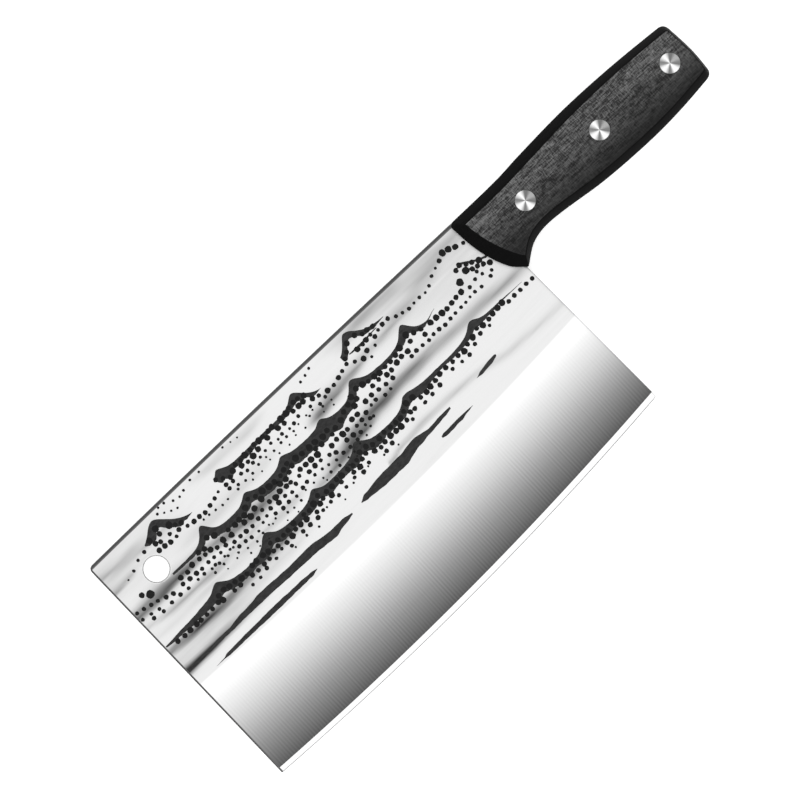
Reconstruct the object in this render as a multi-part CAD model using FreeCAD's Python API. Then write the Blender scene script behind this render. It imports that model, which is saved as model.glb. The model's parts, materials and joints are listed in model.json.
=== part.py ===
import FreeCAD, Part

import os

# A full-tang meat cleaver lying on its side, in millimetres.
# X runs from the toe of the blade to the butt of the handle, Y from the cutting edge
# to the spine, and Z straight out of the blade's side. The origin is the middle of
# the hanging hole, halfway through the blade.

# Blade
blade_thickness = 3.0
toe_x = -18.7
heel_x = 180.4             # the heel at the height of the spine
heel_lean = 0.025          # the heel moves back by this much for each millimetre down
thickness_behind_edge = 0.6
spine_rounding = 1.2
toe_corner_radius = 2.0
hanging_hole_diameter = 10.0
hanging_hole_chamfer = 0.3

# Long lines of the blade. Each is an arc, given by its Y at the toe, its Y at the heel
# and how far its middle stands off the straight line between them.
spine_line = (18.0, 18.0, 0.6)
shoulder_line = (-42.9, -39.4, -2.8)
bevel_line = (-86.9, -80.9, -3.5)
edge_line = (-89.0, -83.4, -3.65)

# Handle: the tang and both scales share one outline of four curves, joined in a ring.
handle_top = [(170.3, 18.1), (195.0, 18.2), (208.0, 19.1), (232.0, 20.1), (256.0, 19.5), (282.2, 17.6)]
handle_butt = [(282.2, 17.6), (283.2, 3.0), (282.5, -9.0)]
handle_bottom = [(282.5, -9.0), (264.0, -10.8), (248.0, -11.3), (225.0, -10.3), (200.0, -7.4),
                 (190.0, -8.7), (181.6, -14.2)]
handle_front = [(181.6, -14.2), (176.2, -8.6), (171.9, 3.5), (170.3, 18.1)]
butt_corner_radius = 3.0
front_corner_radius = 2.0  # where the front meets the top
tang_thickness = 2.6       # the scales seat in a shallow step ground into the blade
scale_thickness = 8.0
chamfer_depth = 4.0
# How far the chamfer reaches over the scale's face from each point of a curve, and which way.
top_chamfer = [3.9, 3.8, 4.0, 3.6, 3.0, 2.6]
butt_chamfer = [0.8, 0.8, 0.8]
bottom_chamfer = [2.9, 2.8, 2.9, 3.0, 2.8, 2.5, 2.2]
front_chamfer = [5.9, 5.9, 5.0, 3.9]
top_way, butt_way, bottom_way, front_way = (0, -1), (-1, 0), (0, 1), (1, 0)

# Two-part cutler's rivets: a pin pressed into a tubular socket, heads flush with the scales.
rivet_places = [197.9, 236.8, 273.6]
rivet_y = 4.9
rivet_head_diameter = 8.2
rivet_head_thickness = 3.0
rivet_socket_diameter = 5.0
rivet_pin_diameter = 3.2
rivet_end_gap = 1.5        # from each shank's tip to the other half's head
rivet_press_clearance = 0.02
rivet_hole_clearance = 0.05

half_blade = blade_thickness / 2
half_tang = tang_thickness / 2
scale_face_z = half_tang + scale_thickness
chamfer_start_z = scale_face_z - chamfer_depth
rivet_seat_z = scale_face_z - rivet_head_thickness


def point(x, y, z=0.0):
    return FreeCAD.Vector(x, y, z)


def moved(shape, x, y, z):
    copy = shape.copy()
    copy.translate(point(x, y, z))
    return copy


def mirrored(shape):
    """The same shape on the other side of the blade."""
    return shape.mirror(point(0, 0, 0), point(0, 0, 1))


def smooth_curve(points):
    spline = Part.BSplineCurve()
    spline.interpolate([point(x, y) for x, y in points])
    return spline.toShape()


def heel_at(y):
    return heel_x + heel_lean * (spine_line[1] - y)


def long_line(line, z):
    """The arc of one long line, from the toe to the heel, at a height above the mid-plane."""
    toe_y, heel_y, standoff = line
    middle = point((toe_x + heel_at(heel_y)) / 2, (toe_y + heel_y) / 2 + standoff, z)
    return Part.Arc(point(toe_x, toe_y, z), middle, point(heel_at(heel_y), heel_y, z)).toShape()


def blade_section(lines_from_spine, end):
    """The flat end face of the blade, at the toe (end 0) or the heel (end 1)."""
    corners = [line.Vertexes[end].Point for line in lines_from_spine]
    far_corners = [point(c.x, c.y, -c.z) for c in reversed(corners) if c.z > 0]
    return Part.Face(Part.makePolygon(corners + far_corners + corners[:1]))


def blade_side(spine, shoulder, bevel, edge):
    """One side of the blade: the flat, the ground face and the sharpened bevel."""
    toe = Part.makeLine(spine.Vertexes[0].Point, shoulder.Vertexes[0].Point)
    heel = Part.makeLine(spine.Vertexes[1].Point, shoulder.Vertexes[1].Point)
    flat = Part.Face(Part.Wire([spine, heel, shoulder, toe]))
    return [flat, Part.makeRuledSurface(shoulder, bevel), Part.makeRuledSurface(bevel, edge)]


def blade_blank():
    """The blade from toe to heel, with square spine edges and no holes."""
    spine = long_line(spine_line, half_blade)
    shoulder = long_line(shoulder_line, half_blade)
    bevel = long_line(bevel_line, thickness_behind_edge / 2)
    edge = long_line(edge_line, 0.0)
    near_side = blade_side(spine, shoulder, bevel, edge)
    back = spine.extrude(point(0, 0, -blade_thickness))
    ends = [blade_section([spine, shoulder, bevel, edge], end) for end in (0, 1)]
    shell = Part.makeShell(near_side + [mirrored(face) for face in near_side] + [back] + ends)
    shell.sewShape()
    solid = Part.makeSolid(shell)
    if solid.Volume < 0:
        solid.reverse()
    return solid


def lies_on_spine(edge):
    ends = [vertex.Point for vertex in edge.Vertexes]
    return all(abs(p.y - spine_line[0]) < 0.01 for p in ends) and abs(ends[0].x - ends[-1].x) > 1


def toe_corner_waste():
    """What rounding the corner between the toe and the spine takes away."""
    r = toe_corner_radius
    centre_y = spine_line[0] - r
    block = Part.makeBox(r + 1, r + 1, 4 * half_blade, point(toe_x - 1, centre_y, -2 * half_blade))
    round_end = Part.makeCylinder(r, 4 * half_blade, point(toe_x + r, centre_y, -2 * half_blade))
    return block.cut(round_end)


def hanging_hole_waste():
    r = hanging_hole_diameter / 2
    c = hanging_hole_chamfer
    waste = Part.makeCylinder(r, 2 * blade_thickness, point(0, 0, -blade_thickness))
    countersink = Part.makeCone(r, r + 2 * c, 2 * c, point(0, 0, half_blade - c))
    return waste.fuse([countersink, mirrored(countersink)])


def handle_prism(low_z, high_z):
    """The outline of the handle between two heights. All its corners but the lower tip are rounded."""
    height = high_z - low_z
    curves = [smooth_curve(c) for c in (handle_top, handle_butt, handle_bottom, handle_front)]
    prism = Part.Face(Part.Wire(curves)).extrude(point(0, 0, height))
    prism.translate(point(0, 0, low_z))
    corners = ((butt_corner_radius, handle_butt[0]), (butt_corner_radius, handle_butt[-1]),
               (front_corner_radius, handle_top[0]))
    for radius, (x, y) in corners:
        foot = Part.Vertex(point(x, y, low_z))
        upright = [e for e in prism.Edges if abs(e.BoundBox.ZLength - height) < 0.001
                   and e.BoundBox.XLength < 0.001 and e.distToShape(foot)[0] < 0.001]
        prism = prism.makeFillet(radius, upright)
    return prism


def rivet_hole(x, diameter, low_z, high_z):
    radius = diameter / 2 + rivet_hole_clearance
    return Part.makeCylinder(radius, high_z - low_z, point(x, rivet_y, low_z))


def make_blade():
    blade = blade_blank()
    blade = blade.makeFillet(spine_rounding, [e for e in blade.Edges if lies_on_spine(e)])
    blade = blade.cut([toe_corner_waste(), hanging_hole_waste()])
    step = handle_prism(half_tang, blade_thickness)
    blade = blade.cut([step, mirrored(step)])
    tang = handle_prism(-half_tang, half_tang)
    holes = [rivet_hole(x, rivet_socket_diameter, -half_blade, half_blade) for x in rivet_places]
    return blade.fuse(tang).removeSplitter().cut(holes)


def chamfer_line(points, widths, way, share):
    """The line along a chamfer at a share of its way from the outline, 0, to the face, 1."""
    into_x, into_y = way
    line = [(x + share * width * into_x, y + share * width * into_y) for (x, y), width in zip(points, widths)]
    return moved(smooth_curve(line), 0, 0, chamfer_start_z + share * chamfer_depth)


def chamfer_waste(points, widths, way):
    """All that lies above a chamfer along one curve of the scale's outline."""
    spare = 0.3
    low = chamfer_line(points, widths, way, -spare)
    high = chamfer_line(points, widths, way, 1 + spare)
    return Part.makeRuledSurface(low, high).extrude(point(0, 0, scale_thickness))


def make_scale():
    scale = handle_prism(half_tang, scale_face_z)
    scale = scale.cut([
        chamfer_waste(handle_top, top_chamfer, top_way),
        chamfer_waste(handle_bottom, bottom_chamfer, bottom_way),
        chamfer_waste(handle_front, front_chamfer, front_way),
        chamfer_waste(handle_butt, butt_chamfer, butt_way),
    ])
    for x in rivet_places:
        scale = scale.cut(rivet_hole(x, rivet_socket_diameter, 0, scale_face_z))
        scale = scale.cut(rivet_hole(x, rivet_head_diameter, rivet_seat_z, scale_face_z + 1))
    return scale


def rivet_half(x, shank_diameter):
    """A head flush with the near scale and a shank that stops short of the far head."""
    head = Part.makeCylinder(rivet_head_diameter / 2, rivet_head_thickness, point(x, rivet_y, rivet_seat_z))
    shank_end_z = -rivet_seat_z + rivet_end_gap
    shank = Part.makeCylinder(shank_diameter / 2, rivet_seat_z - shank_end_z, point(x, rivet_y, shank_end_z))
    return head.fuse(shank).removeSplitter()


def make_rivet_socket(x):
    """The near half: a head with a tube for the pin."""
    bore_radius = rivet_pin_diameter / 2 + rivet_press_clearance
    bore_depth = 2 * rivet_seat_z
    bore = Part.makeCylinder(bore_radius, bore_depth, point(x, rivet_y, rivet_seat_z - bore_depth))
    return rivet_half(x, rivet_socket_diameter).cut(bore)


def make_rivet_pin(x):
    """The far half: a head with a solid pin."""
    return mirrored(rivet_half(x, rivet_pin_diameter))


os.makedirs("parts", exist_ok=True)
near_scale = make_scale()
nodes = {
    "blade": make_blade(),
    "scale_near": near_scale,
    "scale_far": mirrored(near_scale),
}
for number, place in enumerate(rivet_places, start=1):
    nodes["rivet_socket_%d" % number] = make_rivet_socket(place)
    nodes["rivet_pin_%d" % number] = make_rivet_pin(place)

for name, shape in nodes.items():
    solid = shape.Solids[0]
    print(name, "solids", len(shape.Solids), "valid", shape.isValid(), "volume", round(solid.Volume, 1))
    shape.exportStep("parts/%s.step" % name)
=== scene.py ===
import bpy
import json
import math
import random
from mathutils import Matrix, Vector, noise


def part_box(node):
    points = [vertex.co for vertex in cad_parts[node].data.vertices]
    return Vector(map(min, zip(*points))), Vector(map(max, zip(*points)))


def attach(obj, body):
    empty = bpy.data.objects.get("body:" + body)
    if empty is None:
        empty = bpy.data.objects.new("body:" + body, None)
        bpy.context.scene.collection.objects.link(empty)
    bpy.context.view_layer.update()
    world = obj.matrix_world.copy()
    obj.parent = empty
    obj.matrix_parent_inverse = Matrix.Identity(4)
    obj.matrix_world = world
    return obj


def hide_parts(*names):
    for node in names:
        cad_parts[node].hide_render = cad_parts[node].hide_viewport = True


# A meat cleaver lying on its side. X runs to the butt of the handle, Y to the spine and
# Z out of the blade. The shapes below are in millimetres, the studio and every mesh in metres.
mm = 0.001
mergeDistance = 0.002 * mm

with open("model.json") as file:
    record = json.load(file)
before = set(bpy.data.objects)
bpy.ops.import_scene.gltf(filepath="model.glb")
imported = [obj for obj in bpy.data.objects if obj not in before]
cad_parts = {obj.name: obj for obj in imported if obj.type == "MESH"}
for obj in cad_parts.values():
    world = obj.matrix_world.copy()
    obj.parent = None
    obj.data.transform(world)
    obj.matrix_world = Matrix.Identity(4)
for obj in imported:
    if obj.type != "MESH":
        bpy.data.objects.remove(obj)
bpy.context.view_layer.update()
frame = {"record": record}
bladeLow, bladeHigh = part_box("blade")
scaleLow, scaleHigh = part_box("scale_near")
hangingHole = next(m for m in frame["record"]["mounts"] if m["name"] == "hanging_hole")
halfBlade = bladeHigh.z / mm
print("frame loaded")


# Modelling helpers

def onlySelect(piece):
    bpy.ops.object.select_all(action="DESELECT")
    piece.select_set(True)
    bpy.context.view_layer.objects.active = piece


def nameIt(piece, name):
    piece.name = name
    piece.data.name = name
    return piece


def pointOutwards(piece):
    onlySelect(piece)
    bpy.ops.object.mode_set(mode="EDIT")
    bpy.ops.mesh.select_all(action="SELECT")
    bpy.ops.mesh.remove_doubles(threshold=mergeDistance)
    bpy.ops.mesh.normals_make_consistent(inside=False)
    bpy.ops.object.mode_set(mode="OBJECT")


def applyModifier(piece, kind, **settings):
    onlySelect(piece)
    modifier = piece.modifiers.new(kind.title(), kind)
    for key, value in settings.items():
        setattr(modifier, key, value)
    bpy.ops.object.modifier_apply(modifier=modifier.name)


def combine(piece, tool, operation):
    applyModifier(piece, "BOOLEAN", operation=operation, object=tool, solver="EXACT")
    bpy.data.objects.remove(tool)


def smoothShade(piece, degrees):
    onlySelect(piece)
    bpy.ops.object.shade_smooth_by_angle(angle=math.radians(degrees))


def copyPiece(piece, name, place=Matrix.Identity(4)):
    copy = piece.copy()
    copy.data = piece.data.copy()
    copy.data.transform(place)
    bpy.context.collection.objects.link(copy)
    return nameIt(copy, name)


def joinPieces(pieces, name):
    bpy.ops.object.select_all(action="DESELECT")
    for piece in pieces:
        piece.select_set(True)
    bpy.context.view_layer.objects.active = pieces[0]
    bpy.ops.object.join()
    return nameIt(bpy.context.object, name)


def onFarSide(piece, name):  # the same piece on the other side of the blade
    far = copyPiece(piece, name, Matrix.Scale(-1, 4, (0, 0, 1)))
    onlySelect(far)
    bpy.ops.object.mode_set(mode="EDIT")
    bpy.ops.mesh.select_all(action="SELECT")
    bpy.ops.mesh.flip_normals()
    bpy.ops.object.mode_set(mode="OBJECT")
    return far


# A column of many sides is extruded ring by ring, and each ring is then moved on to its outline.
def stackRings(name, rings):
    count = len(rings[0][0])
    bpy.ops.object.select_all(action="DESELECT")
    bpy.ops.mesh.primitive_circle_add(vertices=count, radius=1, fill_type="NGON")
    piece = nameIt(bpy.context.object, name)
    bpy.ops.object.mode_set(mode="EDIT")
    bpy.ops.mesh.select_all(action="SELECT")
    for _ in rings[1:]:
        bpy.ops.mesh.extrude_region_move(TRANSFORM_OT_translate={"value": (0, 0, 1)})
    bpy.ops.object.mode_set(mode="OBJECT")
    for vertex in piece.data.vertices:
        outline, z = rings[round(vertex.co.z)]
        turn = math.atan2(vertex.co.y, vertex.co.x) / math.tau
        x, y = outline[round(turn * count) % count]
        vertex.co = (x * mm, y * mm, z * mm)
    pointOutwards(piece)
    return piece


def circle(radius, count, centre=(0, 0)):
    return [(centre[0] + radius * math.cos(math.tau * i / count),
             centre[1] + radius * math.sin(math.tau * i / count)) for i in range(count)]


def turned(name, profile, centre=(0, 0), count=64):  # a round piece, from its radius and height at each step
    return stackRings(name, [(circle(radius, count, centre), z) for radius, z in profile])


def smoothLine(points, steps=10):  # a curve through given points
    last = len(points) - 1
    line = []
    for i in range(last):
        around = [Vector(points[max(min(k, last), 0)]) for k in range(i - 1, i + 3)]
        before, start, end, after = around
        span = (end - start).length
        leave = (end - before) * span / ((start - before).length + span)
        arrive = (after - start) * span / ((after - end).length + span)
        for step in range(steps):
            t = step / steps
            line.append(start * (2 * t ** 3 - 3 * t ** 2 + 1) + leave * (t ** 3 - 2 * t ** 2 + t)
                        + end * (3 * t ** 2 - 2 * t ** 3) + arrive * (t ** 3 - t ** 2))
    return line + [Vector(points[-1])]


def divide(line, count):  # a line again, in equal steps
    reach = [0.0]
    for a, b in zip(line, line[1:]):
        reach.append(reach[-1] + (b - a).length)
    result, i = [], 0
    for step in range(count + 1):
        target = reach[-1] * step / count
        while i < len(line) - 2 and reach[i + 1] < target:
            i += 1
        result.append(line[i].lerp(line[i + 1], (target - reach[i]) / (reach[i + 1] - reach[i])))
    return result


# Blade: rows run along it and columns across it, over one side down to the mid-plane

bladeShape = {
    "spine": (18.0, 18.0, 0.6),          # each line's Y at the toe, at the heel, and its bow
    "shoulder": (-42.9, -39.4, -2.8),
    "bevel": (-86.9, -80.9, -3.5),
    "edge": (-89.0, -83.4, -3.62),
    "heel": 180.4,
    "heelLean": 0.025,
    "halfBehindEdge": 0.3,
    "hollow": 0.12,                      # how far the grinding wheel sinks into the ground face
    "spineRound": 1.2,
    "toeRound": 0.6,
    "heelRound": 0.15,
    "toeCorner": 2.0,
    "heelCorner": 0.9,
    "holeChamfer": 0.3,
    "belowRound": 0.03,                  # a row just below the spine's rounding
    # where the painted shade on the rounded edges is still full and where it is gone: in from the spine, and
    # in from the toe's rounding
    "spineRim": (1.42, 1.54),
    "toeRim": (0.08, 0.16),
    # the heel's side and the tang's edges carry a lighter painted shade
    "heelRim": 0.36,                     # how dark it is there, up to 1
    "tangRim": 0.36,
    "columns": 170,
    "flatRows": 56,
    "flatFrom": 0.025,                   # share of the flat's height that lies above its first row
    "groundRows": 24,
    "bevelShares": (0.3, 0.6, 0.75, 0.88, 0.96, 1),
    "shadeAngle": 24,
}

# Smoky streaks left by the forge. Each is a line of points: X, Y, half width and darkness.
streaks = [
    [(-18.7, -8.6, 1.8, 0.62), (-8, -8.4, 2.1, 0.70), (4, -7.9, 1.9, 0.60), (18, -8.3, 1.7, 0.40),
     (30, -9.6, 1.8, 0.45), (40, -10.6, 2.2, 0.62), (50, -10.2, 2.2, 0.45), (64, -9.0, 2.0, 0)],
    [(-18.7, -27.0, 1.4, 0.50), (-5, -27.3, 1.7, 0.62), (10, -27.4, 1.7, 0.55), (24, -27.0, 1.6, 0.40),
     (34, -25.6, 1.8, 0.50), (46, -25.4, 1.8, 0.35), (60, -26.0, 1.6, 0)],
    [(60, -21.5, 1.6, 0), (68, -20.3, 1.9, 0.25), (80, -18.4, 2.2, 0.55), (90, -16.0, 2.4, 0.68),
     (104, -13.5, 2.2, 0.58), (118, -12.6, 2.0, 0.46), (134, -12.4, 2.0, 0.34), (150, -12.8, 2.0, 0.26),
     (172, -12.9, 2.0, 0.26), (182, -13.0, 2.0, 0.16)],
    [(78, -0.4, 1.6, 0.05), (86, -0.2, 1.9, 0.45), (94, 1.2, 1.9, 0.50), (104, 2.6, 1.8, 0.32),
     (118, 4.4, 1.8, 0.14), (140, 8.0, 2.0, 0)],
    [(-18.7, 11.3, 1.0, 0.18), (-5, 10.6, 1.5, 0.18), (12, 8.5, 1.6, 0.10), (22, 7.5, 1.5, 0)],
    [(-18.7, 4.0, 0.9, 0.22), (-9, 4.2, 0.8, 0.20), (-5, 4.4, 0.8, 0)],
    [(-18.7, -14.2, 0.9, 0.15), (-5, -15.6, 1.1, 0.25), (12, -16.2, 1.2, 0.30), (30, -15.2, 1.1, 0.22),
     (50, -14.0, 1.1, 0)],
    [(-18.7, -36.4, 1.5, 0.85), (-8, -36.3, 1.4, 0.80), (4, -36.0, 1.3, 0.65), (16, -35.8, 1.2, 0.35),
     (30, -36.0, 1.0, 0)],
    [(92, -32.4, 0.9, 0.30), (102, -30.2, 1.0, 0.18), (118, -29.2, 1.1, 0.15), (134, -30.0, 1.1, 0.13),
     (160, -33.0, 1.2, 0.12), (182, -32.8, 1.2, 0.08)],
    [(116, 3.0, 1.6, 0), (134, 6.6, 2.6, 0.20), (150, 9.5, 2.8, 0.18), (166, 13.5, 2.4, 0.10),
     (178, 16.0, 2.0, 0)],
    [(102, 12.5, 2.2, 0), (120, 14.8, 2.4, 0.16), (136, 15.5, 2.2, 0.10), (146, 15.5, 2.0, 0)],
    [(26, 15.0, 1.6, 0), (42, 14.2, 1.7, 0.10), (60, 13.9, 1.6, 0.13), (74, 15.0, 1.6, 0)],
    [(112, 4.0, 10.0, 0), (140, 5.0, 12.0, 0.05), (166, 3.0, 14.0, 0.07), (182, 2.0, 14.0, 0.08)],
    [(-18.7, 8.0, 7.0, 0.11), (6, 8.0, 7.0, 0.06), (30, 9.0, 7.0, 0)],
    [(96, 15.6, 2.4, 0), (118, 15.4, 2.8, 0.13), (146, 14.0, 3.6, 0.10), (178, 12.0, 4.0, 0.04)],
    [(4, -1.6, 2.4, 0), (26, -1.0, 2.6, 0.10), (52, 0.6, 2.6, 0.08), (74, 1.6, 2.0, 0)],
    [(-18.7, -19.0, 1.6, 0.05), (8, -19.4, 1.8, 0.10), (36, -20.4, 1.6, 0.06), (50, -20.6, 1.6, 0)],
    [(-18.7, -31.5, 1.6, 0.10), (10, -31.6, 1.8, 0.12), (40, -30.2, 1.8, 0.08), (62, -29.0, 1.6, 0)],
    [(20, -17.4, 1.2, 0), (34, -18.4, 1.3, 0.12), (54, -17.8, 1.3, 0.16), (66, -17.0, 1.2, 0)],
]
smokeShape = {
    "pastEnd": 4,             # how far a streak runs on past its last point
    "sway": 0.6,              # how far noise moves its middle
    "swaySize": (14, 5),
    "patchiness": 0.5,
    "patchSize": (12, 1.3),
    "darkest": 0.9,
    "above": 1.3,             # how widely it fades on each side of its middle
    "below": 0.9,
    "falloff": 1.7,
}


def lineAt(name, t):
    toe, heel, bow = bladeShape[name]
    return toe + (heel - toe) * t + bow * 4 * t * (1 - t)


def between(points, x):  # the values at X along a line of points, eased from each point to the next
    if x <= points[0][0]:
        return points[0][1:]
    for a, b in zip(points, points[1:]):
        if x <= b[0]:
            t = (x - a[0]) / (b[0] - a[0])
            t = t * t * (3 - 2 * t)
            return tuple(p + (q - p) * t for p, q in zip(a[1:], b[1:]))
    return points[-1][1:]


def smokeAt(x, y):  # 0 on clean steel to 1 where the steel is blackened
    shape = smokeShape
    (swayX, swayY), (patchX, patchY) = shape["swaySize"], shape["patchSize"]
    sway = shape["sway"] * noise.noise((x / swayX, y / swayY, 3.1))
    patchy = 1 + shape["patchiness"] * noise.noise((x / patchX, y / patchY, 8.4))
    clean = 1.0
    for streak in streaks:
        if not streak[0][0] - 0.01 <= x <= streak[-1][0] + shape["pastEnd"]:
            continue
        middle, width, dark = between(streak, x)
        off = (y - middle + sway) / width
        off /= shape["above"] if off > 0 else shape["below"]
        clean *= 1 - min(shape["darkest"], dark * patchy) * math.exp(-abs(off) ** shape["falloff"])
    return 1 - clean


def quarterRound(radius, steps):  # how far in and how far down, from the side round to the top
    turns = [math.radians(90 * step / steps) for step in range(steps + 1)]
    return [(radius * (1 - math.cos(turn)), radius * (1 - math.sin(turn))) for turn in turns]


# Rows: (line, next line, share of the way between them, drop, height, how far ground, on the rim of painted
# shade)
def bladeRows():
    shape = bladeShape
    below = shape["spineRound"] + shape["belowRound"]
    full, gone = shape["spineRim"]
    rows = [("spine", "spine", 0, 0, 0, 0, 1)]
    for into, down in quarterRound(shape["spineRound"], 6):
        rows.append(("spine", "spine", 0, into, halfBlade - down, 0, 1))
    for drop, rim in ((below, 1), (full, 1), (gone, 0), (shape["toeCorner"], 0)):
        rows.append(("spine", "spine", 0, drop, halfBlade, 0, rim))
    for row in range(1, shape["flatRows"] + 1):
        share = shape["flatFrom"] + (1 - shape["flatFrom"]) * row / shape["flatRows"]
        rows.append(("spine", "shoulder", share, 0, halfBlade, 0, 0))
    for row in range(1, shape["groundRows"] + 1):
        share = row / shape["groundRows"]
        height = halfBlade + (shape["halfBehindEdge"] - halfBlade) * share
        height -= shape["hollow"] * 4 * share * (1 - share)
        rows.append(("shoulder", "bevel", share, 0, height, share, 0))
    for share in shape["bevelShares"]:
        rows.append(("bevel", "edge", share, 0, shape["halfBehindEdge"] * (1 - share), 1 + share, 0))
    return rows


# Columns: (share of the length, in from the toe, in from the heel, share of height lost, on the rim of
# painted shade)
def bladeColumns():
    shape = bladeShape
    full, gone = shape["toeRim"]
    heelRim = shape["heelRim"]
    toe = [(0, into, 0, down / halfBlade, 1) for into, down in quarterRound(shape["toeRound"], 4)]
    heel = [(1, 0, into, down / halfBlade, heelRim) for into, down in quarterRound(shape["heelRound"], 2)]
    middle = [(i / shape["columns"], 0, 0, 0, 0) for i in range(1, shape["columns"])]
    toe += [(0, shape["toeRound"] + more, 0, 0, rim) for more, rim in ((full, 1), (gone, 0))]
    return [(0, 0, 0, 1, 1)] + toe + middle + heel[::-1] + [(1, 0, 0, 1, heelRim)]


def bladePoint(row, column):
    shape = bladeShape
    first, second, share, drop, height, ground, rowRim = row
    t, fromToe, fromHeel, lost, columnRim = column
    y = lineAt(first, t) * (1 - share) + lineAt(second, t) * share - drop
    corner = shape["toeCorner"]
    above = min(max(y - (lineAt("spine", t) - corner), 0), corner)
    toe = bladeLow.x / mm + corner - math.sqrt(corner ** 2 - above ** 2) + fromToe
    corner = shape["heelCorner"]
    below = min(max(lineAt("edge", 1) + corner - y, 0), corner)
    heel = shape["heel"] + shape["heelLean"] * (shape["spine"][1] - y) - fromHeel
    heel -= corner - math.sqrt(corner ** 2 - below ** 2)
    return (toe + (heel - toe) * t, y, height * (1 - lost)), ground, max(rowRim, columnRim)


def makeBladeSkin():
    rows, columns = bladeRows(), bladeColumns()
    bpy.ops.object.select_all(action="DESELECT")
    bpy.ops.mesh.primitive_grid_add(x_subdivisions=len(columns) - 1, y_subdivisions=len(rows) - 1, size=0.2)
    skin = nameIt(bpy.context.object, "cleaver_blade")
    ground = skin.data.attributes.new("ground", "FLOAT", "POINT")
    rim = skin.data.attributes.new("rim", "FLOAT", "POINT")
    smoke = skin.data.attributes.new("smoke", "FLOAT", "POINT")
    for i, vertex in enumerate(skin.data.vertices):
        row = rows[len(rows) - 1 - i // len(columns)]
        place, ground.data[i].value, rim.data[i].value = bladePoint(row, columns[i % len(columns)])
        smoke.data[i].value = smokeAt(place[0], place[1])
        vertex.co = Vector(place) * mm
    applyModifier(skin, "MIRROR", use_axis=(False, False, True), merge_threshold=mergeDistance)
    pointOutwards(skin)
    return skin


# Handle: four curves in a ring, from the front of the spine side round by the butt

handleShape = {
    "top": [(170.3, 18.1), (195.0, 18.2), (208.0, 19.1), (232.0, 20.1), (256.0, 19.5), (282.2, 17.6)],
    "butt": [(282.2, 17.6), (283.2, 3.0), (282.5, -9.0)],
    "bottom": [(282.5, -9.0), (264.0, -10.8), (248.0, -11.3), (225.0, -10.3), (200.0, -7.4),
               (190.0, -8.7), (181.6, -14.2)],
    "front": [(181.6, -14.2), (176.2, -8.6), (171.9, 3.5), (170.3, 18.1)],
    # how far the chamfer reaches over the face from each point of a curve, and which way
    "chamfers": {"top": [3.9, 3.8, 4.0, 3.6, 3.0, 2.6], "butt": [0.8, 0.8, 0.8],
                 "bottom": [2.9, 2.8, 2.9, 3.0, 2.8, 2.5, 2.2], "front": [5.9, 5.9, 5.0, 3.9]},
    "ways": {"top": (0, -1), "butt": (-1, 0), "bottom": (0, 1), "front": (1, 0)},
    "steps": {"top": 60, "butt": 16, "bottom": 70, "front": 26},
    "samples": 400,           # steps that each curve is measured in
    "cornerSteps": 8,
    # how much of the corner at the end of each curve is rounded off, on the outline and on the face
    "outlineRounds": {"top": 3.0, "butt": 3.0, "bottom": 0.6, "front": 2.3},
    "faceRounds": {"top": 1.6, "butt": 1.6, "bottom": 0.3, "front": 0.3},
    "chamferDepth": 4.0,
    "softening": 0.3,         # bevel on both edges of the chamfer
    "softeningSteps": 3,
    "halfTang": 1.3,
    "shadeAngle": 24,
}
sideOrder = ("top", "butt", "bottom", "front")


def crossing(first, second):  # where two lines cross: the point, and how far along each
    for i in range(len(first) - 1):
        for j in range(len(second) - 1):
            a, b, c, d = first[i], first[i + 1], second[j], second[j + 1]
            across = (b - a).cross(d - c)
            if abs(across) < 1e-9:
                continue
            s, t = (c - a).cross(d - c) / across, (c - a).cross(b - a) / across
            if 0 <= s <= 1 and 0 <= t <= 1:
                return a + (b - a) * s, i, j
    raise ValueError("the lines don't cross")


def insetSides():  # each side moved in by its chamfer and cut off where the next one crosses it
    moved = {}
    for name in sideOrder:
        way = Vector(handleShape["ways"][name])
        moved[name] = smoothLine([Vector(point) + way * width for point, width
                                  in zip(handleShape[name], handleShape["chamfers"][name])])
    joints = [crossing(moved[name], moved[sideOrder[(k + 1) % 4]]) for k, name in enumerate(sideOrder)]
    inset = {}
    for k, name in enumerate(sideOrder):
        start, _, first = joints[k - 1]
        end, last, _ = joints[k]
        inset[name] = [start] + moved[name][first + 1:last + 1] + [end]
    return inset


def handleRing(sides, rounds):  # the whole ring, with its four corners rounded
    ring = []
    samples = handleShape["samples"]
    lines = {name: divide(sides[name], samples) for name in sideOrder}
    lengths = {name: sum((b - a).length for a, b in zip(line, line[1:])) for name, line in lines.items()}
    for k, name in enumerate(sideOrder):
        before, after = sideOrder[k - 1], sideOrder[(k + 1) % 4]
        start = round(samples * rounds[before] / lengths[name])
        end = samples - round(samples * rounds[name] / lengths[name])
        ring += divide(lines[name][start:end + 1], handleShape["steps"][name])[:-1]
        a, corner = lines[name][end], lines[name][-1]
        b = lines[after][round(samples * rounds[name] / lengths[after])]
        for step in range(handleShape["cornerSteps"]):
            t = step / handleShape["cornerSteps"]
            ring.append(a * (1 - t) ** 2 + corner * 2 * t * (1 - t) + b * t ** 2)
    return [tuple(p) for p in ring]


handleSides = {name: smoothLine(handleShape[name]) for name in sideOrder}
handleOutline = handleRing(handleSides, handleShape["outlineRounds"])
handleFace = handleRing(insetSides(), handleShape["faceRounds"])

rivetShape = {
    "radius": 4.05,
    "head": 3.0,
    "edge": [(0.0, 0.12), (0.05, 0.04)],    # in from the side and down from the top, round its edge
    "gap": 0.06,                            # between the head and the scale
    "rings": 11,                            # turning marks across the head
    "ringsFrom": 0.2,                       # how far in from the side they start
    "ringDepth": 0.012,
    "holeAbove": 1,                         # how far the hole's cutter stands out of the scale
    "shadeAngle": 30,
}


def rivetCentre(number):
    low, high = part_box("rivet_socket_%d" % number)
    return (low.x + high.x) / 2 / mm, (low.y + high.y) / 2 / mm


rivetCentres = [rivetCentre(number) for number in (1, 2, 3)]


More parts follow.
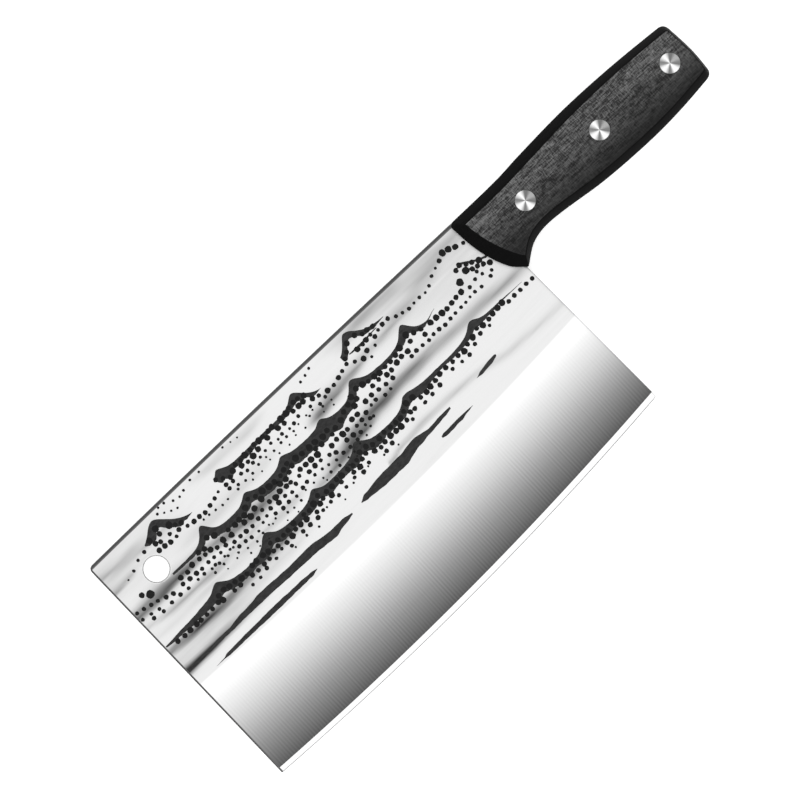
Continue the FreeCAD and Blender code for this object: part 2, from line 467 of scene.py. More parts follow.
def makeBlade():
    blade = makeBladeSkin()
    half = handleShape["halfTang"]
    tang = stackRings("tang", [(handleOutline, -half), (handleOutline, half)])
    combine(blade, tang, "UNION")
    radius, chamfer = hangingHole["dims"]["r_mm"], bladeShape["holeChamfer"]
    flare, wall = radius + 2 * chamfer, halfBlade - chamfer
    hole = turned("hole", [(flare, -halfBlade - chamfer), (radius, -wall), (radius, wall),
                           (flare, halfBlade + chamfer)], count=96)
    combine(blade, hole, "DIFFERENCE")
    pointOutwards(blade)
    marks = blade.data.attributes
    for i, vertex in enumerate(blade.data.vertices):  # no grinding or smoke on the tang or in the hole
        x, y, z = vertex.co / mm
        onTang = x > scaleLow.x / mm and y > scaleLow.y / mm - 0.1 and abs(abs(z) - half) < 0.002
        if onTang or math.hypot(x, y) < radius + 0.01:
            marks["ground"].data[i].value = marks["smoke"].data[i].value = 0
            # The tang's edges get painted shade
            marks["rim"].data[i].value = bladeShape["tangRim"] if onTang else 0
    smoothShade(blade, bladeShape["shadeAngle"])
    return blade


def makeScale():
    faceZ = scaleHigh.z / mm
    chamferZ = faceZ - handleShape["chamferDepth"]
    scale = stackRings("handle_scale_near", [(handleOutline, handleShape["halfTang"]),
                                             (handleOutline, chamferZ), (handleFace, faceZ)])
    onlySelect(scale)
    bpy.ops.object.mode_set(mode="EDIT")
    bpy.ops.mesh.select_mode(type="EDGE")
    bpy.ops.mesh.select_all(action="DESELECT")
    bpy.ops.object.mode_set(mode="OBJECT")
    for edge in scale.data.edges:
        heights = [scale.data.vertices[v].co.z / mm for v in edge.vertices]
        edge.select = any(all(abs(z - loop) < 0.01 for z in heights) for loop in (faceZ, chamferZ))
    bpy.ops.object.mode_set(mode="EDIT")
    bpy.ops.mesh.bevel(offset=handleShape["softening"] * mm, segments=handleShape["softeningSteps"],
                       affect="EDGES")
    bpy.ops.object.mode_set(mode="OBJECT")
    radius = rivetShape["radius"] + rivetShape["gap"]
    for centre in rivetCentres:
        hole = turned("hole", [(radius, faceZ - rivetShape["head"]),
                               (radius, faceZ + rivetShape["holeAbove"])], centre)
        combine(scale, hole, "DIFFERENCE")
    smoothShade(scale, handleShape["shadeAngle"])
    return scale


def makeRivet(number, centre):
    shape = rivetShape
    top = scaleHigh.z / mm
    radius = shape["radius"]
    profile = [(radius, top - shape["head"])]
    profile += [(radius - into, top - down) for into, down in shape["edge"]]
    for ring in range(shape["rings"]):
        out = (radius - shape["ringsFrom"]) * (1 - ring / shape["rings"])
        profile.append((out, top - (shape["ringDepth"] if ring % 2 else 0.0)))
    rivet = turned("rivet_head_near_%d" % number, profile, centre)
    spoke = rivet.data.attributes.new("fromCentre", "FLOAT_VECTOR", "POINT")
    for i, vertex in enumerate(rivet.data.vertices):
        spoke.data[i].vector = (vertex.co.x / mm - centre[0], vertex.co.y / mm - centre[1], 0)
    smoothShade(rivet, shape["shadeAngle"])
    return rivet


bladePiece = makeBlade()
scaleNear = makeScale()
scaleFar = onFarSide(scaleNear, "handle_scale_far")
rivetsNear = [makeRivet(number, centre) for number, centre in enumerate(rivetCentres, start=1)]
rivetsFar = [onFarSide(rivet, rivet.name.replace("near", "far")) for rivet in rivetsNear]
print("blade, scales and rivets modelled")


# Forge marks: low raised ridges with dots under them, and long strokes along the shoulder

marksShape = {
    "sunk": 0.05,             # how far every mark reaches into the steel
    "ridgeHeight": 0.05,
    "step": 0.5,
    "edge": 0.14,             # width of the sloping edge
    "thinnest": 0.12,
    # how far the outlines stray, and the lengths of their bumps
    "crestStray": 0.15, "crestBumps": 2.2,
    "underStray": 0.35, "underBumps": (1.1, 3),
    "strokeStray": 0.2, "strokeBumps": (3.2, 2.4),
}

# A ridge stands on a line of (X, Y). Its peaks are (X, height, reach left, reach right), and its body
# is (X, thickness). Its rows of dots are (drop under the body, from X, to X, radius, spacing).
ridges = [
    {"line": [(2.6, 7.4), (25.0, 5.4)], "peaks": [(11.2, 7.8, 7.5, 8.0)],
     "body": [(2.6, 0.8), (5.0, 3.2), (8.0, 4.8), (11.5, 3.8), (14.0, 4.8), (17.5, 4.2), (21.0, 1.8),
              (25.0, 0.2)],
     "rows": [(-1.3, 5, 20, 1.5, 2.3), (0.9, 5, 18, 1.3, 3.2), (2.4, 7, 12, 1.2, 2.6)]},
    {"line": [(39.0, 9.4), (50.0, 9.3), (64.0, 9.6), (74.0, 9.4), (92.8, 6.3)],
     "peaks": [(42.2, 2.4, 2.0, 3.5), (83.0, 5.2, 4.5, 5.5)],
     "body": [(39.0, 1.6), (41.5, 5.0), (44.5, 5.6), (48.0, 2.6), (66.0, 1.9), (78.0, 2.4), (83.0, 4.2),
              (87.0, 2.6), (92.8, 0.2)],
     "rows": [(-1.0, 39, 87, 1.4, 2.5), (0.9, 40, 90, 1.3, 2.9), (3.4, 41, 93, 0.85, 3.2),
              (5.6, 43, 94, 0.62, 3.6), (7.6, 48, 94, 0.5, 4.6)]},
    {"line": [(105.6, 9.0), (128.8, 9.9)], "peaks": [(112.9, 6.8, 5.0, 7.0)],
     "body": [(105.6, 1.6), (107.5, 3.6), (112.0, 3.2), (117.0, 2.9), (122.0, 1.8), (128.8, 0.3)],
     "rows": [(-0.8, 106, 124, 1.35, 2.3)]},
    {"line": [(109.0, 8.9), (124.0, 9.2)], "peaks": [], "body": [(109.0, 0.6), (114.0, 1.2), (124.0, 0.5)],
     "rows": [(-0.4, 110, 124, 1.2, 2.3)]},
    {"line": [(2.9, -5.3), (16.0, -5.4), (33.0, -5.3), (53.0, -4.7), (74.0, -3.6), (94.0, -4.3),
              (114.0, -2.7), (138.5, -2.6), (145.0, -1.0)],
     "peaks": [(23.1, 5.9, 4.0, 3.4), (44.0, 2.9, 3.6, 4.0), (63.5, 2.6, 3.6, 4.5), (83.9, 2.4, 3.6, 3.2),
               (102.4, 5.0, 4.2, 5.4), (130.9, 5.9, 5.2, 3.6)],
     "body": [(2.9, 1.1), (14.0, 1.5), (20.0, 3.6), (24.0, 5.6), (28.0, 3.5), (34.0, 3.3), (44.0, 4.8),
              (53.0, 4.6), (64.0, 5.8), (74.0, 5.2), (84.0, 7.4), (94.0, 4.0), (102.0, 4.6), (112.0, 2.2),
              (122.0, 1.7), (131.0, 4.6), (137.0, 1.8), (140.0, 0.6), (145.0, 0.15)],
     "rows": [(-2.2, 40, 100, 1.45, 3.0), (-0.3, 15, 137, 1.4, 2.8), (2.1, 3, 137, 1.35, 3.1),
              (4.9, 3, 118, 1.15, 3.2), (7.5, 8, 112, 0.9, 3.3), (9.9, 14, 102, 0.65, 3.9),
              (12.0, 18, 88, 0.48, 5.0)]},
    {"line": [(-18.0, -23.7), (-6.0, -23.0), (6.0, -22.3), (26.0, -23.5), (49.0, -22.2), (64.0, -21.6),
              (78.0, -21.0), (100.0, -21.0), (134.0, -18.2), (164.0, -16.0), (176.0, -16.4)],
     "peaks": [(12.6, 3.4, 4.2, 4.2), (38.8, 4.4, 4.6, 4.2), (63.5, 2.8, 3.6, 3.6), (87.7, 4.2, 4.4, 4.4),
               (113.3, 3.2, 3.8, 8.0), (150.9, 3.2, 4.2, 4.2)],
     "body": [(-18.0, 0.8), (-12.0, 1.7), (-2.0, 2.5), (6.0, 3.3), (12.5, 5.4), (20.0, 3.4), (28.0, 2.9),
              (39.0, 5.8), (50.0, 3.0), (64.0, 4.8), (76.0, 3.2), (88.0, 5.6), (100.0, 2.8), (114.0, 4.2),
              (132.0, 1.6), (144.0, 2.0), (151.0, 3.6), (158.0, 1.4), (166.0, 0.7), (176.0, 0.2)],
     "rows": [(-1.7, 10, 118, 1.4, 2.9), (0.7, -14, 166, 1.32, 2.9), (3.0, 22, 156, 1.0, 4.0),
              (4.7, 44, 104, 0.6, 7.0)]},
    {"line": [(161.6, 4.0), (173.8, 0.3)], "peaks": [(163.4, 1.3, 1.6, 4.0)],
     "body": [(161.6, 0.4), (164.0, 1.3), (173.8, 1.0)], "rows": [(0.0, 160, 172, 1.45, 2.2)]},
]
strokes = [  # each a line of (X, Y, thickness)
    [(-18.2, -36.5, 1.6), (4, -36.1, 1.7), (12, -35.6, 2.5), (24, -35.2, 3.4), (36, -35.6, 3.3),
     (48, -35.6, 3.8), (58, -36.6, 3.4), (64, -36.0, 2.4), (68.8, -36.0, 0.8)],
    [(73.6, -35.4, 0.5), (77, -35.0, 2.6), (86, -34.8, 4.3), (96, -34.6, 4.6), (105, -33.2, 3.8),
     (112, -33.4, 1.9), (119, -32.8, 1.7), (123.4, -32.4, 1.0)],
    [(-9, -42.6, 0.15), (-5, -42.5, 0.5), (-2.4, -42.3, 1.5), (8, -42.1, 1.9), (22, -42.0, 2.3),
     (36, -42.0, 2.0), (41, -42.1, 1.8), (44.6, -42.0, 0.4)],
    [(112.9, -38.5, 0.8), (115, -38.5, 1.8), (123, -38.2, 1.7), (127, -37.9, 0.9), (130.2, -37.7, 0.2)],
    [(138.0, -31.3, 0.2), (141.5, -30.9, 1.6), (146, -30.3, 1.9), (149.0, -29.9, 1.3), (149.8, -29.8, 0.5)],
]
looseRows = [  # rows of dots away from the ridges: points of (X, Y, radius), and the spacing
    ([(-17.0, -7.4, 1.0), (0.0, -11.0, 1.2)], 3.2),
    ([(-17.0, -10.4, 1.0), (-6.0, -12.8, 1.1)], 3.6),
    ([(-13.5, -13.4, 1.1), (6.0, -13.3, 1.0), (30.0, -14.5, 0.6)], 4.4),
    ([(-11.0, -3.6, 1.5), (-7.6, -5.6, 1.7), (-4.0, -5.4, 1.4)], 2.6),
    ([(-10.6, 4.2, 0.6), (-2.6, 6.8, 0.9), (3.0, 8.4, 0.9)], 3.6),
    ([(5.6, 4.4, 1.3), (16.0, 3.6, 1.0), (29.0, 2.8, 1.2), (38.0, 5.0, 0.8)], 3.0),
    ([(26.0, 1.4, 0.6), (38.0, 0.2, 0.6)], 3.0),
    ([(9.0, 6.2, 1.1), (21.0, 5.6, 1.1)], 3.6),
    ([(14.6, 14.6, 0.6), (19.0, 12.4, 0.6), (24.0, 11.0, 0.5)], 2.3),
    ([(16.5, 16.4, 0.6), (26.0, 14.0, 0.6)], 3.0),
    ([(28.0, 15.0, 0.6), (38.0, 15.8, 0.5)], 4.4),
    ([(50.0, 16.4, 0.5), (58.0, 15.0, 0.5)], 3.4),
    ([(88.6, 14.0, 0.8), (96.0, 15.6, 0.6)], 3.0),
    ([(88.0, 5.2, 1.2), (95.0, 4.2, 1.2), (106.0, 6.4, 1.0), (112.0, 4.0, 1.2), (118.0, 6.6, 1.0),
      (127.6, 8.4, 1.0), (137.0, 5.8, 0.9), (147.0, 6.0, 0.7), (156.0, 9.6, 0.8), (161.0, 12.2, 1.4),
      (171.0, 9.8, 1.1)], 2.9),
    ([(108.0, 5.2, 0.6), (113.0, 2.2, 0.6), (122.0, 4.8, 0.9)], 3.6),
    ([(137.0, -3.6, 1.4), (150.0, -4.2, 1.35), (157.0, -3.2, 1.3)], 2.8),
    ([(126.0, -8.0, 1.1), (140.0, -8.2, 1.0), (152.0, -7.6, 0.8), (164.0, -7.2, 0.8)], 2.9),
    ([(158.6, -0.6, 1.5), (162.0, 1.4, 1.5), (168.0, -0.8, 1.4), (172.8, -2.8, 1.6)], 2.3),
    ([(162.4, 3.0, 1.3), (166.0, 1.6, 1.3), (171.4, -0.4, 1.3)], 2.2),
    ([(160.0, -4.2, 0.9), (165.0, -3.4, 0.9), (172.0, -6.0, 1.0)], 3.2),
    ([(166.0, -1.8, 1.1), (169.0, -6.6, 0.9)], 3.0),
    ([(158.0, -18.1, 1.2), (180.0, -18.3, 1.1)], 3.0),
]


def ridgeAt(ridge, x):  # the crest and the underside of a ridge's body
    crest = between(ridge["line"], x)[0]
    for peak, height, left, right in ridge["peaks"]:
        crest += height / (1 + ((x - peak) / (left if x < peak else right)) ** 2) ** 1.5
    return crest, crest - between(ridge["body"], x)[0]


def raisedStrip(name, lines):  # a low strip from (X, top Y, bottom Y), with sloping edges
    bpy.ops.object.select_all(action="DESELECT")
    bpy.ops.mesh.primitive_grid_add(x_subdivisions=len(lines) - 1, y_subdivisions=3, size=0.2)
    strip = nameIt(bpy.context.object, name)
    low, high = halfBlade - marksShape["sunk"], halfBlade + marksShape["ridgeHeight"]
    for i, vertex in enumerate(strip.data.vertices):
        x, top, bottom = lines[i % len(lines)]
        row = i // len(lines)
        slope = min(marksShape["edge"], (top - bottom) / 3)  # so that some of the top stays flat
        y = (bottom, bottom + slope, top - slope, top)[row]
        vertex.co = Vector((x, y, (low, high, high, low)[row])) * mm
    for i in range(4):  # both ends run down into the steel
        for end in (i * len(lines), (i + 1) * len(lines) - 1):
            strip.data.vertices[end].co.z = low * mm
    onlySelect(strip)
    bpy.ops.object.mode_set(mode="EDIT")
    bpy.ops.mesh.select_mode(type="EDGE")
    bpy.ops.mesh.select_all(action="DESELECT")
    bpy.ops.mesh.select_non_manifold()
    bpy.ops.mesh.edge_face_add()
    bpy.ops.object.mode_set(mode="OBJECT")
    pointOutwards(strip)
    return strip


def stepsAlong(points):  # even steps of X from the first point to the last
    start, end = points[0][0], points[-1][0]
    count = round((end - start) / marksShape["step"])
    return [start + (end - start) * i / count for i in range(count + 1)]


def bumps(x, length, number, layer):  # noise along a ridge or a stroke
    return noise.noise((x / length, number, layer))


def makeRidges():
    shape = marksShape
    made = []
    small, large = shape["underBumps"]
    for number, ridge in enumerate(ridges):
        lines = []
        for x in stepsAlong(ridge["line"]):
            crest, under = ridgeAt(ridge, x)
            rough = min(1, (crest - under) / 2)
            crest += shape["crestStray"] * rough * bumps(x, shape["crestBumps"], number, 0)
            ragged = bumps(x, small, number, 5) + bumps(x, large, number, 9)
            under += shape["underStray"] * rough * ragged
            lines.append((x, crest, min(under, crest - shape["thinnest"])))
        made.append(raisedStrip("ridge", lines))
    topBumps, bottomBumps = shape["strokeBumps"]
    for number, stroke in enumerate(strokes):
        lines = []
        for x in stepsAlong(stroke):
            middle, thick = between(stroke, x)
            rough = min(1, thick / 2) * shape["strokeStray"]
            lines.append((x, middle + thick / 2 + rough * bumps(x, topBumps, number, 20),
                          middle - thick / 2 + rough * bumps(x, bottomBumps, number, 30)))
        made.append(raisedStrip("stroke", lines))
    return joinPieces(made, "forge_ridges_near")


dotsShape = {
    "seed": 11,
    "height": 0.07,
    "sides": 10,
    "top": 0.84,              # its top's width as a share of its foot's
    "uneven": 0.22,           # how far its outline strays from round
    # in the rows under ridges: the spread of sizes and gaps, and the stray as a share of the spacing
    "sizes": (0.75, 1.15), "gaps": (0.85, 1.15), "across": 0.16, "along": 0.1,
    # the same in the loose rows
    "looseSizes": (0.8, 1.12), "looseGaps": (0.88, 1.12), "looseAcross": 0.12,
    "apart": 0.8,             # least distance between two dots, as a share of their radii
    "clearOfHole": 6.2,
    "ends": (-18.2, 179.9),   # X of the first and last places for a dot
}


def dotPlaces():
    shape = dotsShape
    spread = random.Random(shape["seed"])
    across, along, looseAcross = shape["across"], shape["along"], shape["looseAcross"]
    places = []
    for ridge in ridges:
        for drop, start, end, radius, spacing in ridge["rows"]:
            x = start + spread.uniform(0, spacing / 2)
            while x < end:
                size = radius * spread.uniform(*shape["sizes"])
                y = ridgeAt(ridge, x)[1] - drop + spread.uniform(-across, across) * spacing
                places.append((x + spread.uniform(-along, along) * spacing, y, size))
                x += spacing * spread.uniform(*shape["gaps"])
    for points, spacing in looseRows:
        x = points[0][0]
        while x <= points[-1][0] + 0.01:
            y, radius = between(points, x)
            y += spread.uniform(-looseAcross, looseAcross) * spacing
            places.append((x, y, radius * spread.uniform(*shape["looseSizes"])))
            x += spacing * spread.uniform(*shape["looseGaps"])
    toe, heel = shape["ends"]
    kept = []
    for x, y, radius in places:
        free = all(math.hypot(x - a, y - b) > shape["apart"] * (radius + r) for a, b, r in kept)
        if free and math.hypot(x, y) > shape["clearOfHole"] and toe < x < heel:
            kept.append((x, y, radius))
    return kept


def makeDots():
    shape = dotsShape
    low, high = (halfBlade - marksShape["sunk"]) * mm, (halfBlade + shape["height"]) * mm
    bpy.ops.object.select_all(action="DESELECT")
    bpy.ops.mesh.primitive_circle_add(vertices=shape["sides"], radius=mm, fill_type="NGON",
                                      location=(0, 0, 0))
    dot = nameIt(bpy.context.object, "dot")
    bpy.ops.object.mode_set(mode="EDIT")
    bpy.ops.mesh.select_all(action="SELECT")
    bpy.ops.mesh.extrude_region_move(TRANSFORM_OT_translate={"value": (0, 0, high - low)})
    bpy.ops.transform.resize(value=(shape["top"], shape["top"], 1), center_override=(0, 0, 0))
    bpy.ops.object.mode_set(mode="OBJECT")
    pointOutwards(dot)
    made = []
    for number, (x, y, radius) in enumerate(dotPlaces()):
        copy = copyPiece(dot, "dot_copy")
        for vertex in copy.data.vertices:
            turn = vertex.co.xy.normalized()
            stray = noise.noise((turn.x * 1.3, turn.y * 1.3, number * 1.7))
            reach = radius * (1 + shape["uneven"] * stray)
            vertex.co = (x * mm + vertex.co.x * reach, y * mm + vertex.co.y * reach, vertex.co.z + low)
        made.append(copy)
    bpy.data.objects.remove(dot)
    return joinPieces(made, "forge_dots_near")


ridgesNear = makeRidges()
dotsNear = makeDots()
ridgesFar = onFarSide(ridgesNear, "forge_ridges_far")
dotsFar = onFarSide(dotsNear, "forge_dots_far")
print("forge marks modelled:", len(dotsNear.data.polygons), "faces of dots a side")


# Materials

def newMaterial(name):
    material = bpy.data.materials.new(name)
    material.use_nodes = True
    return material


def node(material, kind, **settings):
    made = material.node_tree.nodes.new(kind)
    for key, value in settings.items():
        setattr(made, key, value)
    return made


def link(material, source, target):
    material.node_tree.links.new(source, target)


def attribute(material, name):
    return node(material, "ShaderNodeAttribute", attribute_name=name)


def stretched(material, scale, detail, roughness=0.5, distortion=0.0):  # noise, stretched along the axes
    coordinates = node(material, "ShaderNodeTexCoord")
    mapping = node(material, "ShaderNodeMapping")
    mapping.inputs["Scale"].default_value = scale
    texture = node(material, "ShaderNodeTexNoise")
    texture.inputs["Scale"].default_value = 1
    texture.inputs["Detail"].default_value = detail
    texture.inputs["Roughness"].default_value = roughness
    texture.inputs["Distortion"].default_value = distortion
    link(material, coordinates.outputs["Object"], mapping.inputs["Vector"])
    link(material, mapping.outputs["Vector"], texture.inputs["Vector"])
    return texture.outputs["Fac"]


def maths(material, operation, first, second):
    made = node(material, "ShaderNodeMath", operation=operation)
    for socket, value in zip(made.inputs, (first, second)):
        if isinstance(value, (int, float)):
            socket.default_value = value
        else:
            link(material, value, socket)
    return made.outputs[0]


def swing(material, value, middle, strength):  # a value as a swing to both sides of zero
    return maths(material, "MULTIPLY", maths(material, "SUBTRACT", value, middle), strength)


def multiplied(material, first, second):  # one colour times another
    made = node(material, "ShaderNodeMix", data_type="RGBA", blend_type="MULTIPLY")
    made.inputs["Factor"].default_value = 1
    link(material, first, made.inputs[6])
    link(material, second, made.inputs[7])
    return made.outputs[2]


def remap(material, value, low, high, outLow, outHigh):
    made = node(material, "ShaderNodeMapRange")
    link(material, value, made.inputs["Value"])
    for name, number in (("From Min", low), ("From Max", high), ("To Min", outLow), ("To Max", outHigh)):
        made.inputs[name].default_value = number
    return made.outputs["Result"]


def ramp(material, value, stops):  # stops of (position, grey)
    made = node(material, "ShaderNodeValToRGB")
    elements = made.color_ramp.elements
    while len(elements) < len(stops):
        elements.new(1)
    for element, (position, grey) in zip(elements, stops):
        element.position = position
        element.color = (grey, grey, grey, 1)
    link(material, value, made.inputs["Fac"])
    return made.outputs["Color"]


def principled(material):
    return material.node_tree.nodes["Principled BSDF"]


def bump(material, height, strength, distance):
    made = node(material, "ShaderNodeBump")
    made.inputs["Strength"].default_value = strength
    made.inputs["Distance"].default_value = distance
    link(material, height, made.inputs["Height"])
    link(material, made.outputs["Normal"], principled(material).inputs["Normal"])


steelLook = {
    "flat": 0.435,
    # from the shoulder down to the bevel: share of the way, and brightness. This is painted reflection: a
    # painted highlight just under the shoulder that fades to painted shade towards the bevel
    "ground": [(0.0, 0.52), (0.05, 0.555), (0.15, 0.522), (0.25, 0.455), (0.35, 0.395), (0.45, 0.332),
               (0.55, 0.264), (0.65, 0.201), (0.75, 0.148), (0.85, 0.107), (0.95, 0.072), (1.0, 0.056)],
    # painted highlight on the edge bevel
    "bevel": 0.56,
    # painted shade: a dark line along the very edge
    "edgeShadeLine": 0.13,                   # the line along the very edge
    # painted shade on the spine's rounding, the toe, the heel's side and the tang's edges
    "rim": 0.070,
    "smoke": 2.2,                   # how strongly the streaks darken the steel
    "roughness": 0.34,
    # grinding lines: their pitch in millimetres, and how they grow towards the edge
    "pitch": 1.3,
    "growth": 1.3,
    "uneven": ((420, 9, 9), 1),     # noise that makes some lines stronger: its stretch and detail
    "strength": (0.08, 0.34),
    # noise over the steel: its stretch, detail, roughness and distortion
    "satin": ((22, 900, 900), 3, 0.6),
    "satinStrength": 0.10,
    "cloud": ((24, 170, 170), 3, 0.55, 1.2),
    "cloudStrength": 0.30,
}


def steelMaterial():
    look = steelLook
    steel = newMaterial("blade_steel")
    ground = attribute(steel, "ground").outputs["Fac"]
    smoke = attribute(steel, "smoke").outputs["Fac"]
    rim = attribute(steel, "rim").outputs["Fac"]
    # Painted reflection down the ground face, a painted highlight on the bevel and a painted shade line along
    # the very edge
    stops = [(0.0, look["flat"]), (0.006, look["ground"][0][1])]
    stops += [(share / 2, grey) for share, grey in look["ground"][1:]]
    stops += [(0.508, look["bevel"]), (0.93, look["bevel"]), (0.965, look["edgeShadeLine"])]
    tone = ramp(steel, maths(steel, "MULTIPLY", ground, 0.5), stops)
    wave = node(steel, "ShaderNodeTexWave", wave_type="BANDS", bands_direction="X", wave_profile="SIN")
    wave.inputs["Scale"].default_value = math.tau / 20 / (look["pitch"] * mm)  # at 1, a band is tau / 20 wide
    wave.inputs["Distortion"].default_value = 1.6
    wave.inputs["Detail"].default_value = 2
    wave.inputs["Detail Scale"].default_value = 0.12
    link(steel, node(steel, "ShaderNodeTexCoord").outputs["Object"], wave.inputs["Vector"])
    onGround = maths(steel, "POWER", remap(steel, ground, 0.0, 1.0, 0.0, 1.0), look["growth"])
    notBevel = remap(steel, ground, 1.0, 1.03, 1.0, 0.0)
    uneven = remap(steel, stretched(steel, *look["uneven"]), 0.3, 0.7, *look["strength"])
    deep = maths(steel, "MULTIPLY", maths(steel, "MULTIPLY", onGround, notBevel), uneven)
    lines = swing(steel, wave.outputs["Fac"], 0.5, deep)
    satin = swing(steel, stretched(steel, *look["satin"]), 0.5, look["satinStrength"])
    cloudy = swing(steel, stretched(steel, *look["cloud"]), 0.5, look["cloudStrength"])
    onFlat = remap(steel, ground, 0.0, 0.02, 1.0, 0.0)
    grain = maths(steel, "ADD", satin, maths(steel, "MULTIPLY", cloudy, onFlat))
    clean = maths(steel, "POWER", maths(steel, "SUBTRACT", 1.0, smoke), look["smoke"])
    worn = maths(steel, "MULTIPLY", maths(steel, "ADD", maths(steel, "ADD", grain, lines), 1.0), clean)
    # Painted shade where the rim attribute is set
    dark = node(steel, "ShaderNodeMix", data_type="RGBA")
    link(steel, remap(steel, rim, 0.2, 0.8, 0.0, 1.0), dark.inputs["Factor"])
    link(steel, multiplied(steel, tone, worn), dark.inputs[6])
    dark.inputs[7].default_value = (look["rim"], look["rim"], look["rim"], 1)
    shader = principled(steel)
    link(steel, dark.outputs[2], shader.inputs["Base Color"])
    shader.inputs["Metallic"].default_value = 1
    rough = maths(steel, "ADD", maths(steel, "MULTIPLY", grain, 0.8), look["roughness"])
    link(steel, rough, shader.inputs["Roughness"])
    bump(steel, maths(steel, "ADD", lines, satin), 0.25, 0.03 * mm)
    return steel


markLook = {"forge_black": (0.014, 0.034), "forge_dots": (0.004, 0.010)}  # darkest and lightest


def markMaterial(name):
    low, high = markLook[name]
    black = newMaterial(name)
    mottle = stretched(black, (500, 900, 900), 3, 0.6)
    shader = principled(black)
    link(black, ramp(black, mottle, [(0.3, low), (0.7, high)]), shader.inputs["Base Color"])
    link(black, remap(black, mottle, 0.2, 0.8, 0.5, 0.7), shader.inputs["Roughness"])
    shader.inputs["Specular IOR Level"].default_value = 0.1
    bump(black, mottle, 0.3, 0.03 * mm)
    return black


rivetLook = {
    # painted highlights: brightness around the head, from the side towards the blade and back to it
    "wedges": [(0.0, 0.52), (0.05, 0.46), (0.115, 0.10), (0.16, 0.14), (0.21, 0.5), (0.25, 0.56),
               (0.30, 0.46), (0.36, 0.10), (0.41, 0.12), (0.47, 0.22), (0.53, 0.22), (0.60, 0.09),
               (0.65, 0.10), (0.71, 0.44), (0.75, 0.54), (0.79, 0.40), (0.86, 0.11), (0.91, 0.16),
               (0.96, 0.44), (1.0, 0.52)],
    "scratch": ((3000, 3000, 3000), 2, 0.6),
    "roughness": (0.26, 0.38),
}


def rivetMaterial():
    look = rivetLook
    steel = newMaterial("rivet_steel")
    spoke = node(steel, "ShaderNodeSeparateXYZ")
    link(steel, attribute(steel, "fromCentre").outputs["Vector"], spoke.inputs[0])
    turn = maths(steel, "ARCTAN2", spoke.outputs["Y"], spoke.outputs["X"])
    # Painted highlights and shade in wedges round the centre, where the turning marks would catch the light
    wedges = ramp(steel, remap(steel, turn, -math.pi, math.pi, 0.0, 1.0), look["wedges"])
    scratch = stretched(steel, *look["scratch"])
    shader = principled(steel)
    tone = multiplied(steel, wedges, remap(steel, scratch, 0.3, 0.7, 0.88, 1.1))
    link(steel, tone, shader.inputs["Base Color"])
    shader.inputs["Metallic"].default_value = 1
    link(steel, remap(steel, scratch, 0.3, 0.7, *look["roughness"]), shader.inputs["Roughness"])
    return steel


handleLook = {
    # Painted shade: the face is darker towards the bottom, where it curves away from the light
    "lower": (-7, 0.012),           # height in millimetres, and brightness
    "upper": (12, 0.066),
    # partly grain, partly painted sheen: the grain's light threads show more strongly higher up
    "contrast": (-7, 8, 2.9, 6.6),  # between these heights the grain's contrast grows from one to the other
    # noise: its stretch, detail and roughness
    "grain": ((260, 2200, 2200), 4, 0.7),
    "ticks": ((2200, 420, 420), 4, 0.7),
    "cloud": ((60, 240, 240), 3, 0.55),
    "shares": (1.1, 0.9, 0.3),      # of grain, ticks and cloud
    "middle": 1.15,                 # the usual sum of the three
    "darkest": 0.25,
    # painted shade: the chamfers are near black, darker than the face of the same scale
    "border": 0.003,
    "borderGrain": ((300, 1500, 1500), 3, 0.6),
}


def handleMaterials():
    look = handleLook
    face = newMaterial("handle_face")
    height = node(face, "ShaderNodeSeparateXYZ")
    link(face, node(face, "ShaderNodeTexCoord").outputs["Object"], height.inputs[0])
    # Painted shade: darker towards the bottom of the face, with the grain's painted sheen fading with it
    (lower, dim), (upper, bright) = look["lower"], look["upper"]
    level = remap(face, height.outputs["Y"], lower * mm, upper * mm, dim, bright)
    low, high, soft, hard = look["contrast"]
    contrast = remap(face, height.outputs["Y"], low * mm, high * mm, soft, hard)
    grain, ticks, cloud = (maths(face, "MULTIPLY", stretched(face, *look[name]), share)
                           for name, share in zip(("grain", "ticks", "cloud"), look["shares"]))
    woven = maths(face, "ADD", maths(face, "ADD", grain, ticks), cloud)
    strong = maths(face, "ADD", swing(face, woven, look["middle"], contrast), 1.0)
    strong = maths(face, "MAXIMUM", strong, look["darkest"])
    tone = node(face, "ShaderNodeCombineColor")
    for channel in tone.inputs:
        link(face, maths(face, "MULTIPLY", level, strong), channel)
    shader = principled(face)
    link(face, tone.outputs[0], shader.inputs["Base Color"])
    link(face, remap(face, woven, 0.9, 1.8, 0.62, 0.48), shader.inputs["Roughness"])
    shader.inputs["Specular IOR Level"].default_value = 0.08
    bump(face, woven, 0.3, 0.05 * mm)
    # The chamfers: the scale's dark colour with painted shade on top, near black
    border = newMaterial("handle_border")
    fine = stretched(border, *look["borderGrain"])
    shader = principled(border)
    tone = ramp(border, fine, [(0.3, look["border"] * 0.8), (0.7, look["border"] * 1.4)])
    link(border, tone, shader.inputs["Base Color"])
    link(border, remap(border, fine, 0.3, 0.7, 0.38, 0.48), shader.inputs["Roughness"])
    shader.inputs["Specular IOR Level"].default_value = 0.025
    bump(border, fine, 0.15, 0.03 * mm)
    return face, border


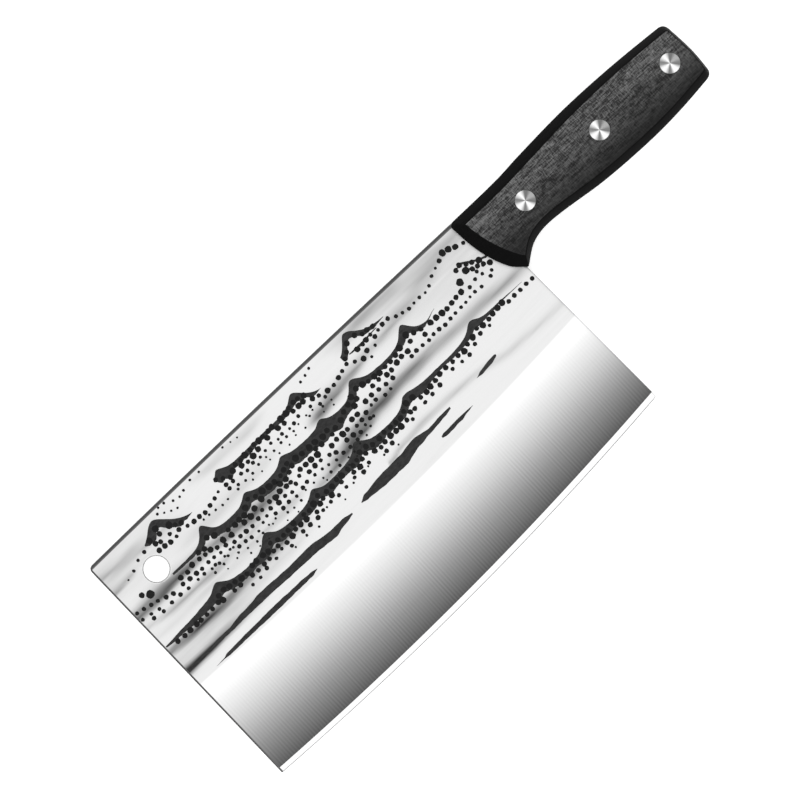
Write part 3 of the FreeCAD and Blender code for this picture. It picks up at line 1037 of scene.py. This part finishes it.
steel, rivetSteel = steelMaterial(), rivetMaterial()
ridgeBlack, dotBlack = markMaterial("forge_black"), markMaterial("forge_dots")
handleFaceLook, handleBorderLook = handleMaterials()
bladePiece.data.materials.append(steel)
for piece in (*rivetsNear, *rivetsFar):
    piece.data.materials.append(rivetSteel)
for piece in (ridgesNear, ridgesFar):
    piece.data.materials.append(ridgeBlack)
for piece in (dotsNear, dotsFar):
    piece.data.materials.append(dotBlack)
for piece in (scaleNear, scaleFar):
    piece.data.materials.append(handleBorderLook)
    piece.data.materials.append(handleFaceLook)
    for polygon in piece.data.polygons:
        flat = abs(polygon.normal.z) > 0.995 and abs(polygon.center.z) > scaleHigh.z - 0.05 * mm
        polygon.material_index = 1 if flat else 0
print("materials made")

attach(bladePiece, "root")
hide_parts("blade")
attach(scaleNear, "root")
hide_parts("scale_near")
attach(scaleFar, "root")
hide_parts("scale_far")
for piece in (ridgesNear, ridgesFar, dotsNear, dotsFar):
    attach(piece, "root")
for number, (near, far) in enumerate(zip(rivetsNear, rivetsFar), start=1):
    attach(near, "root")
    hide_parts("rivet_socket_%d" % number)
    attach(far, "root")
    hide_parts("rivet_pin_%d" % number)

# Camera, floor and lights

# The camera looks straight down. "width" is how much of the floor it sees, and "roll" is in degrees.
cameraPlace = {"above": (0.1113, -0.0172), "height": 6.0, "width": 0.304, "roll": -43.54}
bpy.ops.object.camera_add(location=(*cameraPlace["above"], cameraPlace["height"]),
                          rotation=(0, 0, math.radians(cameraPlace["roll"])))
camera = bpy.context.object
camera.data.lens = camera.data.sensor_width * cameraPlace["height"] / cameraPlace["width"]
bpy.context.scene.camera = camera

# The cleaver rests on its toe and on the front corner of the far scale, so the floor is tilted to suit.
floorShape = {"touches": (181.3, -8.6, -9.3), "upright": (0.0349, 0.0236, 0.9991), "size": 12}
floorLook = {"grain": ((60, 60, 60), 4, 0.6), "dark": 0.93, "light": 0.96, "roughness": 0.9, "glow": 0.45}
turn = Vector(floorShape["upright"]).to_track_quat("Z", "Y").to_euler()
bpy.ops.mesh.primitive_plane_add(size=floorShape["size"], location=Vector(floorShape["touches"]) * mm,
                                 rotation=turn)
floor = nameIt(bpy.context.object, "floor")
paper = newMaterial("floor_paper")
paperGrain = stretched(paper, *floorLook["grain"])
paperTone = ramp(paper, paperGrain, [(0.3, floorLook["dark"]), (0.7, floorLook["light"])])
link(paper, paperTone, principled(paper).inputs["Base Color"])
principled(paper).inputs["Roughness"].default_value = floorLook["roughness"]
principled(paper).inputs["Specular IOR Level"].default_value = 0.1
principled(paper).inputs["Emission Color"].default_value = (1, 1, 1, 1)
principled(paper).inputs["Emission Strength"].default_value = floorLook["glow"]
floor.data.materials.append(paper)

overhead = {"place": (0.1, 0, 7.0), "size": 6.6, "power": 165}  # a soft light that points straight down
bpy.ops.object.light_add(type="AREA", location=overhead["place"])
light = bpy.context.object
light.name = "overhead"
light.data.size = overhead["size"]
light.data.energy = overhead["power"]
world = bpy.data.worlds.new("studio")
bpy.context.scene.world = world
world.use_nodes = True
world.node_tree.nodes["Background"].inputs["Color"].default_value = (1, 1, 1, 1)
bpy.context.scene.view_settings.view_transform = "Standard"
print("camera and lights set")
